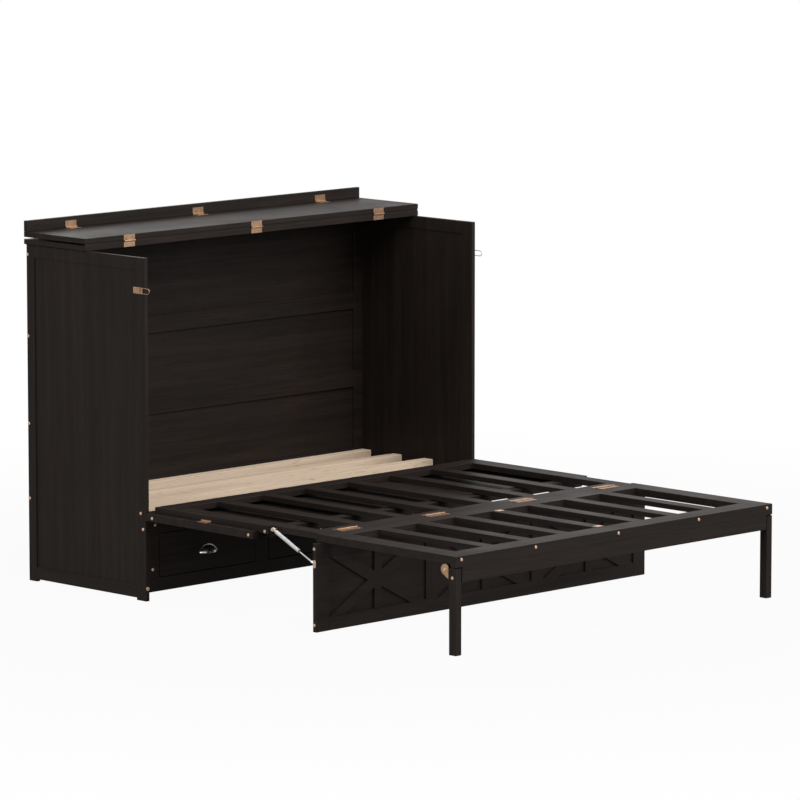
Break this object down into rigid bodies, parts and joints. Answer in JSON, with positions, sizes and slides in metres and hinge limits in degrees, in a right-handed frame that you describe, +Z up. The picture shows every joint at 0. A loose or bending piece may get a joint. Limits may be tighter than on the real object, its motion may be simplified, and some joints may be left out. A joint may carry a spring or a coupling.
{
  "type": "wall bed",
  "caption": "Chest bed, open: drawer cabinet with a folding slatted platform, flip-over lid, brace panel with gas springs, swing-up legs and wire latches.",
  "frame": {"origin": "middle of the footprint of the open bed, on the floor", "axes": "+X across the width, +Y from the bed's foot to the wall behind the cabinet, +Z up"},
  "size_m": [1.6156, 2.0664, 1.2615],
  "materials": {
    "dark_wood": "dark stained hardwood, satin lacquer",
    "pine": "bare sanded pine",
    "copper": "brushed copper plate, slightly aged",
    "pewter": "antique silver",
    "grey_paint": "light grey semi-gloss paint",
    "steel": "ground and polished rod",
    "rubber": "matt"
  },
  "bodies": {
    "cabinet": {"side_frame_left": "dark_wood", "side_frame_right": "dark_wood", "cabinet_infills": "dark_wood", "back_frame": "dark_wood", "fixed_top": "dark_wood", "lid_bumpers": "rubber", "face_frame": "dark_wood", "drawer_partitions": "dark_wood", "bottom_board": "dark_wood", "drawer_runners": "dark_wood", "beam_ledgers": "dark_wood", "pine_beams": "pine", "lid_hinge_fixed_leaves": "copper", "platform_hinge_fixed_leaves": "copper", "latch_plates": "copper", "screw_caps": "copper"},
    "lid": {"lid_board": "dark_wood", "lid_hinge_moving_leaves": "copper", "fascia_hinge_lid_leaves": "copper"},
    "fascia": {"fascia_strip": "dark_wood", "fascia_hinge_moving_leaves": "copper"},
    "middle_section": {"middle_rails": "dark_wood", "middle_slats": "dark_wood", "middle_side_strips": "dark_wood", "lower_panel_frame": "dark_wood", "lower_panel_infills": "dark_wood", "angle_brackets": "copper", "platform_hinge_moving_leaves": "copper", "fold_hinge_middle_leaves": "copper", "brace_pivot_brackets": "copper", "middle_bolts": "copper"},
    "foot_section": {"foot_rails": "dark_wood", "foot_slats": "dark_wood", "apron_boards": "dark_wood", "fold_hinge_foot_leaves": "copper", "leg_blocks": "dark_wood", "foot_bolts": "copper"},
    "brace_panel": {"brace_frame": "dark_wood", "brace_infills": "dark_wood", "brace_trim": "dark_wood", "brace_hardware": "copper"},
    "drawer_left": {"drawer_front_left": "dark_wood", "drawer_box_left": "dark_wood", "drawer_pull_left": "pewter"},
    "drawer_middle": {"drawer_front_middle": "dark_wood", "drawer_box_middle": "dark_wood", "drawer_pull_middle": "pewter"},
    "drawer_right": {"drawer_front_right": "dark_wood", "drawer_box_right": "dark_wood", "drawer_pull_right": "pewter"},
    "leg_body_left": {"leg_left": "dark_wood"},
    "catch_left": {"leg_catch_left": "copper"},
    "spring_cylinder_left": {"gas_spring_cylinder_left": "grey_paint"},
    "spring_rod_left": {"gas_spring_rod_left": "steel"},
    "bail_left": {"latch_bail_left": "copper"},
    "leg_body_right": {"leg_right": "dark_wood"},
    "catch_right": {"leg_catch_right": "copper"},
    "spring_cylinder_right": {"gas_spring_cylinder_right": "grey_paint"},
    "spring_rod_right": {"gas_spring_rod_right": "steel"},
    "bail_right": {"latch_bail_right": "copper"}
  },
  "joints": [
    {"name": "lid_hinge", "type": "hinge", "parent": "cabinet", "child": "lid", "pos_m": [0, 0.71175, 1.20175], "axis": [1, 0, 0], "range_deg": [0, 180]},
    {"name": "fascia_hinge", "type": "hinge", "parent": "lid", "child": "fascia", "pos_m": [0, 1.01505, 1.2262], "axis": [-1, 0, 0], "range_deg": [-90, 0]},
    {"name": "drawer_slide_left", "type": "slide", "parent": "cabinet", "child": "drawer_left", "axis": [0, -1, 0], "range_m": [0, 0.38]},
    {"name": "drawer_slide_middle", "type": "slide", "parent": "cabinet", "child": "drawer_middle", "axis": [0, -1, 0], "range_m": [0, 0.38]},
    {"name": "drawer_slide_right", "type": "slide", "parent": "cabinet", "child": "drawer_right", "axis": [0, -1, 0], "range_m": [0, 0.38]},
    {"name": "platform_hinge", "type": "hinge", "parent": "cabinet", "child": "middle_section", "pos_m": [0, 0.41725, 0.309], "axis": [-1, 0, 0], "range_deg": [0, 90]},
    {"name": "fold_hinge", "type": "hinge", "parent": "middle_section", "child": "foot_section", "pos_m": [0, -0.38375, 0.3288], "axis": [-1, 0, 0], "range_deg": [0, 180]},
    {"name": "leg_pivot_left", "type": "hinge", "parent": "foot_section", "child": "leg_body_left", "pos_m": [-0.7585, -1.01625, 0.255], "axis": [1, 0, 0], "range_deg": [0, 90]},
    {"name": "catch_pivot_left", "type": "hinge", "parent": "foot_section", "child": "catch_left", "pos_m": [-0.7737, -0.98475, 0.28], "axis": [1, 0, 0], "range_deg": [0, 60]},
    {"name": "leg_pivot_right", "type": "hinge", "parent": "foot_section", "child": "leg_body_right", "pos_m": [0.7585, -1.01625, 0.255], "axis": [1, 0, 0], "range_deg": [0, 90]},
    {"name": "catch_pivot_right", "type": "hinge", "parent": "foot_section", "child": "catch_right", "pos_m": [0.7737, -0.98475, 0.28], "axis": [1, 0, 0], "range_deg": [0, 60]},
    {"name": "brace_hinge", "type": "hinge", "parent": "middle_section", "child": "brace_panel", "pos_m": [0, -0.40225, 0.2907], "axis": [1, 0, 0], "range_deg": [0, 90], "stiffness_Nm_per_rad": 10, "springref_deg": -17.19},
    {"name": "spring_stud_left", "type": "hinge", "parent": "middle_section", "child": "spring_cylinder_left", "pos_m": [-0.77, -0.17575, 0.316], "axis": [1, 0, 0], "range_deg": [-26.8, 0]},
    {"name": "spring_stroke_left", "type": "slide", "parent": "spring_cylinder_left", "child": "spring_rod_left", "axis": [0, -0.9043, -0.4269], "range_m": [-0.0592, 0]},
    {"name": "bail_pivot_left", "type": "hinge", "parent": "cabinet", "child": "bail_left", "pos_m": [-0.8054, 0.44325, 1.068], "axis": [0, 0, -1], "range_deg": [0, 110]},
    {"name": "spring_stud_right", "type": "hinge", "parent": "middle_section", "child": "spring_cylinder_right", "pos_m": [0.77, -0.17575, 0.316], "axis": [1, 0, 0], "range_deg": [-26.8, 0]},
    {"name": "spring_stroke_right", "type": "slide", "parent": "spring_cylinder_right", "child": "spring_rod_right", "axis": [0, -0.9043, -0.4269], "range_m": [-0.0592, 0]},
    {"name": "bail_pivot_right", "type": "hinge", "parent": "cabinet", "child": "bail_right", "pos_m": [0.8054, 0.44325, 1.068], "axis": [0, 0, 1], "range_deg": [0, 110]}
  ],
  "couplings": [
    {"joint": "spring_stud_left", "follows": "brace_hinge", "ratio": -0.29762},
    {"joint": "spring_stroke_left", "follows": "brace_hinge", "m_per_rad": -0.037556},
    {"joint": "spring_stud_right", "follows": "brace_hinge", "ratio": -0.29762},
    {"joint": "spring_stroke_right", "follows": "brace_hinge", "m_per_rad": -0.037556}
  ]
}
